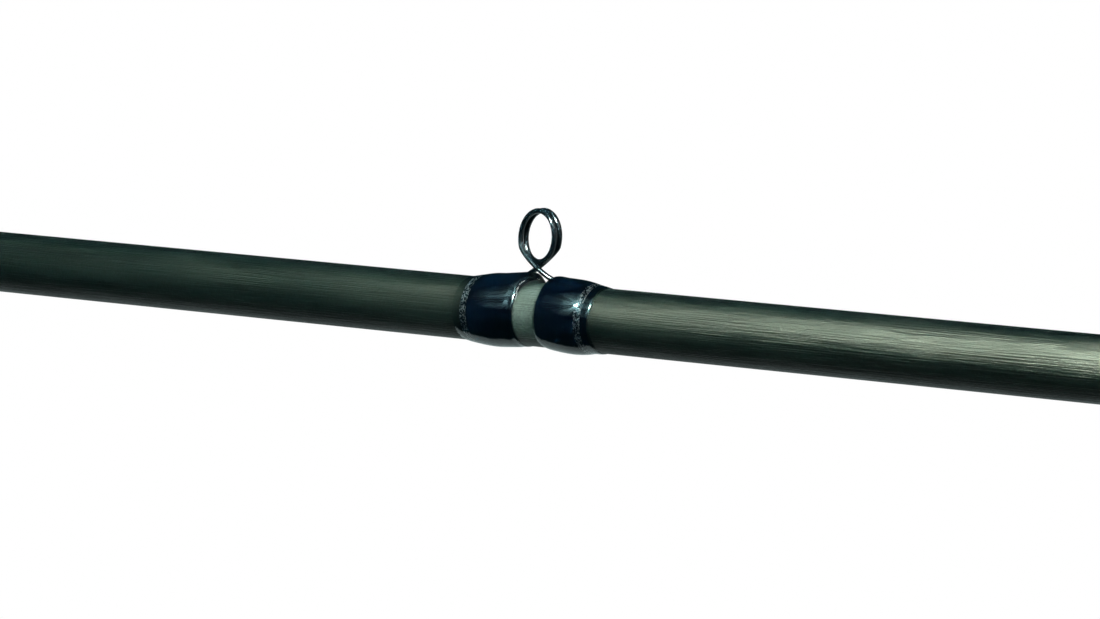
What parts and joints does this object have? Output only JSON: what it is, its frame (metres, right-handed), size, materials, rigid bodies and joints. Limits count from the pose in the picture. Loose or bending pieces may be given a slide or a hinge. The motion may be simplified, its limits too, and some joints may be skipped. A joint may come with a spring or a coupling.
{
  "type": "spinning rod",
  "caption": "Two-piece spinning rod with cork grips, a pipe reel seat, black ring guides and a coiled wire hook keeper under dark blue windings.",
  "frame": {"origin": "on the rod's axis, at the rear end of the rear grip's straight part, where a rod holder takes it", "axes": "+X along the rod towards its tip, +Z towards the hook keeper's side, -Z towards the reel and the line guides"},
  "size_m": [1.8289, 0.025, 0.055],
  "materials": {
    "blank": "satin, fine-grained dark grey carbon",
    "rubber": "matt",
    "trim": "sanded dark cork composite",
    "cork": "sanded cork",
    "check_metal": "satin",
    "arbor": "foam",
    "seat_plastic": "satin moulded",
    "liner_metal": "brushed",
    "thread": "wound under clear finish",
    "finish": "clear, glossy",
    "keeper_wire": "black, glossy",
    "metallic_thread": "metallised thread",
    "guide_metal": "black, glossy",
    "guide_ceramic": "polished dark grey"
  },
  "bodies": {
    "butt_section": {"butt_blank": "blank", "butt_cap": "rubber", "rear_trim": "trim", "rear_grip": "cork", "seat_check": "check_metal", "seat_arbors": "arbor", "reel_seat": "seat_plastic", "fixed_hood_liner": "liner_metal", "foregrip_rear_trim": "trim", "foregrip": "cork", "foregrip_front_trim": "trim", "winding_check": "check_metal", "check_thread": "thread", "check_finish": "finish", "hook_keeper": "keeper_wire", "keeper_rear_thread": "thread", "keeper_rear_band": "metallic_thread", "keeper_rear_finish": "finish", "keeper_front_thread": "thread", "keeper_front_band": "metallic_thread", "keeper_front_finish": "finish", "guide_1_frame": "guide_metal", "guide_1_ring": "guide_ceramic", "guide_1_thread": "thread", "guide_1_finish": "finish"},
    "tip_section": {"tip_blank": "blank", "ferrule_thread": "thread", "ferrule_finish": "finish", "tip_top_frame": "guide_metal", "tip_top_ring": "guide_ceramic", "tip_top_thread": "thread", "tip_top_finish": "finish", "guide_2_frame": "guide_metal", "guide_2_ring": "guide_ceramic", "guide_2_thread": "thread", "guide_2_finish": "finish", "guide_3_frame": "guide_metal", "guide_3_ring": "guide_ceramic", "guide_3_thread": "thread", "guide_3_finish": "finish", "guide_4_frame": "guide_metal", "guide_4_ring": "guide_ceramic", "guide_4_thread": "thread", "guide_4_finish": "finish", "guide_5_frame": "guide_metal", "guide_5_ring": "guide_ceramic", "guide_5_thread": "thread", "guide_5_finish": "finish", "guide_6_frame": "guide_metal", "guide_6_ring": "guide_ceramic", "guide_6_thread": "thread", "guide_6_finish": "finish"},
    "sliding_hood": {"sliding_hood": "seat_plastic", "sliding_hood_liner": "liner_metal"},
    "lock_nut": {"lock_nut": "seat_plastic", "lock_nut_ring": "check_metal"}
  },
  "joints": [
    {"name": "ferrule_slide", "type": "slide", "parent": "butt_section", "child": "tip_section", "axis": [1, 0, 0], "range_m": [0, 0.08]},
    {"name": "hood_slide", "type": "slide", "parent": "butt_section", "child": "sliding_hood", "axis": [1, 0, 0], "range_m": [0, 0.022]},
    {"name": "nut_spin", "type": "hinge", "parent": "sliding_hood", "child": "lock_nut", "pos_m": [0.163, 0, 0], "axis": [1, 0, 0], "range_deg": [0, 3180]}
  ],
  "couplings": [
    {"joint": "nut_spin", "follows": "hood_slide", "rad_per_m": 2513.3}
  ]
}
